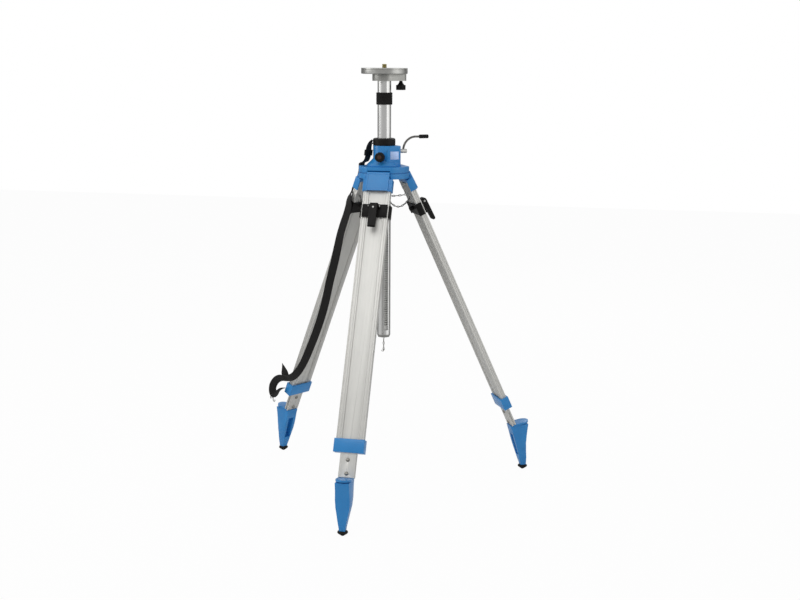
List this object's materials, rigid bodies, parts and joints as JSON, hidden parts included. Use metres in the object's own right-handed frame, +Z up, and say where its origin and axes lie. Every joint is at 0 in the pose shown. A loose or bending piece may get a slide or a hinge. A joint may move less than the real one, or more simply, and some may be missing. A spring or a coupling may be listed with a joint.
{
  "type": "surveyor tripod",
  "caption": "Elevating surveyor tripod with a cranked, geared centre column, a flat head with an instrument screw, and telescopic legs with levers, step feet and a strap.",
  "frame": {"origin": "the point on the ground plumb under the column, level with the three leg tips", "axes": "+Z up along the column, -Y under the front leg, the other legs at 30 and 150 degrees from +X towards +Y"},
  "size_m": [0.9872, 0.8524, 1.48],
  "materials": {
    "blue_paint": "mid-blue enamel on castings",
    "cast_aluminium": "machined casting",
    "tube_aluminium": "polished tube",
    "rail_aluminium": "satin extrusion",
    "steel": "bright steel",
    "brass": "dull brass",
    "black_plastic": "moulded black",
    "black_metal": "black enamel",
    "plate": "bare plate",
    "webbing": "black woven webbing",
    "rubber": "black rubber and steel tip"
  },
  "bodies": {
    "frame": {"housing": "blue_paint", "name_plate": "plate", "guide_collar": "black_plastic", "crown": "blue_paint", "clamp_ring": "blue_paint", "crown_bolts": "steel", "hinge_pins": "steel", "brake_shoe": "brass", "strap_upper": "webbing", "strap_buckle": "black_plastic", "spread_chains": "steel"},
    "column": {"column_tube": "tube_aluminium", "column_rack": "steel", "stop_ring": "black_plastic", "tube_cap": "cast_aluminium", "gear_case": "cast_aluminium", "case_screws": "steel", "head_plate": "cast_aluminium"},
    "instrument_screw": {"instrument_screw": "brass", "screw_gear": "steel"},
    "idler": {"idler_gear": "steel"},
    "screw_knob": {"screw_knob": "black_plastic", "drive_gear": "steel"},
    "plumb_hook": {"plumb_hook": "steel"},
    "crank": {"pinion_shaft": "steel", "crank_arm": "black_metal"},
    "crank_grip": {"crank_grip": "black_plastic"},
    "lock_knob": {"lock_knob": "black_plastic"},
    "front_leg": {"front_bracket": "blue_paint", "front_rails": "rail_aluminium", "front_sleeve": "blue_paint"},
    "front_extension": {"front_tongue": "rail_aluminium", "front_clamp": "black_metal", "front_foot": "blue_paint", "front_tip": "rubber", "front_rivets": "steel"},
    "front_lever": {"front_lever": "black_plastic"},
    "front_tension": {"front_tension_knob": "black_plastic"},
    "right_leg": {"right_bracket": "blue_paint", "right_rails": "rail_aluminium", "right_sleeve": "blue_paint"},
    "right_extension": {"right_tongue": "rail_aluminium", "right_clamp": "black_metal", "right_foot": "blue_paint", "right_tip": "rubber", "right_rivets": "steel"},
    "right_lever": {"right_lever": "black_plastic"},
    "right_tension": {"right_tension_knob": "black_plastic"},
    "left_leg": {"left_bracket": "blue_paint", "left_rails": "rail_aluminium", "left_sleeve": "blue_paint", "strap_lower": "webbing", "strap_hook": "steel"},
    "left_extension": {"left_tongue": "rail_aluminium", "left_clamp": "black_metal", "left_foot": "blue_paint", "left_tip": "rubber", "left_rivets": "steel"},
    "left_lever": {"left_lever": "black_plastic"},
    "left_tension": {"left_tension_knob": "black_plastic"}
  },
  "joints": [
    {"name": "column_slide", "type": "slide", "parent": "frame", "child": "column", "axis": [0, 0, 1], "range_m": [0, 0.5]},
    {"name": "crank_turn", "type": "hinge", "parent": "frame", "child": "crank", "pos_m": [0.0187, -0.0267, 1.188], "axis": [0.8192, 0.5736, 0], "range_deg": [0, 2300]},
    {"name": "grip_spin", "type": "hinge", "parent": "crank", "child": "crank_grip", "pos_m": [0.0187, -0.0267, 1.236], "axis": [0.8192, 0.5736, 0], "continuous": true},
    {"name": "lock_knob_turn", "type": "hinge", "parent": "frame", "child": "lock_knob", "pos_m": [0, -0.045, 1.1695], "axis": [0, -1, 0], "range_deg": [0, 180]},
    {"name": "screw_turn", "type": "hinge", "parent": "column", "child": "instrument_screw", "pos_m": [0, 0, 1.4735], "axis": [0, 0, 1], "continuous": true},
    {"name": "idler_turn", "type": "hinge", "parent": "column", "child": "idler", "pos_m": [0.02728, 0.01575, 1.4415], "axis": [0, 0, 1], "continuous": true},
    {"name": "knob_turn", "type": "hinge", "parent": "column", "child": "screw_knob", "pos_m": [0.05066, 0.02925, 1.41], "axis": [0, 0, 1], "continuous": true},
    {"name": "plumb_swing", "type": "hinge", "parent": "column", "child": "plumb_hook", "pos_m": [0, 0, 0.539], "axis": [0, 1, 0], "range_deg": [-20, 20]},
    {"name": "front_fold", "type": "hinge", "parent": "frame", "child": "front_leg", "pos_m": [0, -0.064, 1.114], "axis": [1, 0, 0], "range_deg": [0, 24], "deforming": ["spread_chains"]},
    {"name": "front_slide", "type": "slide", "parent": "front_leg", "child": "front_extension", "axis": [0, -0.4163, -0.9092], "range_m": [0, 0.7]},
    {"name": "front_lever_turn", "type": "hinge", "parent": "front_extension", "child": "front_lever", "pos_m": [0, -0.14108, 1.01291], "axis": [-1, 0, 0], "range_deg": [0, 110]},
    {"name": "front_tension_turn", "type": "hinge", "parent": "front_extension", "child": "front_tension", "pos_m": [0, -0.10035, 0.98656], "axis": [0, 0.9092, -0.4163], "range_deg": [-180, 180]},
    {"name": "right_fold", "type": "hinge", "parent": "frame", "child": "right_leg", "pos_m": [0.05543, 0.032, 1.114], "axis": [-0.5, 0.866, 0], "range_deg": [0, 24], "deforming": ["spread_chains"]},
    {"name": "right_slide", "type": "slide", "parent": "right_leg", "child": "right_extension", "axis": [0.3605, 0.2081, -0.9092], "range_m": [0, 0.7]},
    {"name": "right_lever_turn", "type": "hinge", "parent": "right_extension", "child": "right_lever", "pos_m": [0.12218, 0.07054, 1.01291], "axis": [0.5, -0.866, 0], "range_deg": [0, 110]},
    {"name": "right_tension_turn", "type": "hinge", "parent": "right_extension", "child": "right_tension", "pos_m": [0.0869, 0.05017, 0.98656], "axis": [-0.7874, -0.4546, -0.4163], "range_deg": [-180, 180]},
    {"name": "left_fold", "type": "hinge", "parent": "frame", "child": "left_leg", "pos_m": [-0.05543, 0.032, 1.114], "axis": [-0.5, -0.866, 0], "range_deg": [0, 24], "deforming": ["spread_chains"]},
    {"name": "left_slide", "type": "slide", "parent": "left_leg", "child": "left_extension", "axis": [-0.3605, 0.2081, -0.9092], "range_m": [0, 0.7]},
    {"name": "left_lever_turn", "type": "hinge", "parent": "left_extension", "child": "left_lever", "pos_m": [-0.12218, 0.07054, 1.01291], "axis": [0.5, 0.866, 0], "range_deg": [0, 110]},
    {"name": "left_tension_turn", "type": "hinge", "parent": "left_extension", "child": "left_tension", "pos_m": [-0.0869, 0.05017, 0.98656], "axis": [0.7874, -0.4546, -0.4163], "range_deg": [-180, 180]}
  ],
  "couplings": [
    {"joint": "crank_turn", "follows": "column_slide", "rad_per_m": 80},
    {"joint": "idler_turn", "follows": "screw_turn", "ratio": -1.625},
    {"joint": "knob_turn", "follows": "screw_turn", "ratio": 1.3}
  ]
}
